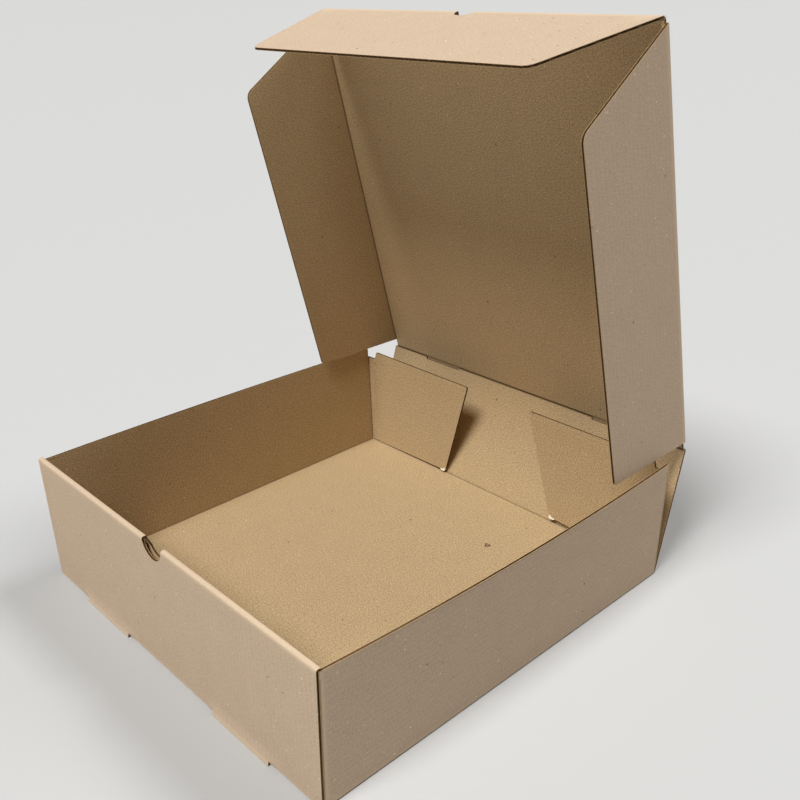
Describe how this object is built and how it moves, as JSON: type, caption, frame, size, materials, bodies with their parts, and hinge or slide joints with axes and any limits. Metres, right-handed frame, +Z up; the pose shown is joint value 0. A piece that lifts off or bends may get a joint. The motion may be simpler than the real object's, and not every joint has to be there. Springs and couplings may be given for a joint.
{
  "type": "microflute box",
  "caption": "Open kraft-brown box of fine corrugated board: a shallow tray with a rolled front wall, a back wall that leans back and a hinged lid with tuck flaps.",
  "frame": {"origin": "middle of the floor's underside, on the surface that the box stands on", "axes": "X to the right along the front wall, Y from the front wall to the back wall, Z up"},
  "size_m": [0.2606, 0.2779, 0.3058],
  "materials": {
    "kraft_board": "uncoated kraft liner, matt, with faint flute lines"
  },
  "bodies": {
    "tray": {"tray": "kraft_board"},
    "back_wall": {"back_wall": "kraft_board"},
    "lid": {"lid_panel": "kraft_board"},
    "lid_front_flap": {"lid_front_flap": "kraft_board"},
    "lid_left_flap": {"lid_left_flap": "kraft_board"},
    "lid_right_flap": {"lid_right_flap": "kraft_board"},
    "left_corner_flap": {"left_corner_flap": "kraft_board"},
    "right_corner_flap": {"right_corner_flap": "kraft_board"}
  },
  "joints": [
    {"name": "back_wall_fold", "type": "hinge", "parent": "tray", "child": "back_wall", "pos_m": [0, 0.12525, 0.00075], "axis": [-1, 0, 0], "range_deg": [-18.6, 10.2]},
    {"name": "lid_fold", "type": "hinge", "parent": "back_wall", "child": "lid", "pos_m": [0, 0.14901, 0.07136], "axis": [-1, 0, 0], "range_deg": [-58.25, 31.75]},
    {"name": "lid_front_fold", "type": "hinge", "parent": "lid", "child": "lid_front_flap", "pos_m": [0, 0.09441, 0.30507], "axis": [-1, 0, 0], "range_deg": [-5.5, 90.5]},
    {"name": "lid_left_fold", "type": "hinge", "parent": "lid", "child": "lid_left_flap", "pos_m": [-0.12125, 0.14901, 0.07136], "axis": [0, 0.2275, -0.9738], "range_deg": [-4, 88.9]},
    {"name": "lid_right_fold", "type": "hinge", "parent": "lid", "child": "lid_right_flap", "pos_m": [0.12125, 0.14901, 0.07136], "axis": [0, -0.2275, 0.9738], "range_deg": [-4, 88.9]},
    {"name": "left_corner_fold", "type": "hinge", "parent": "tray", "child": "left_corner_flap", "pos_m": [-0.1235, 0.12275, 0.00123], "axis": [0.0175, 0, -0.9998], "range_deg": [0, 80]},
    {"name": "right_corner_fold", "type": "hinge", "parent": "tray", "child": "right_corner_flap", "pos_m": [0.1235, 0.12275, 0.00126], "axis": [0.0401, 0, 0.9992], "range_deg": [0, 80]}
  ],
  "couplings": [
    {"joint": "back_wall_fold", "follows": "lid_fold", "ratio": 0.3193}
  ]
}
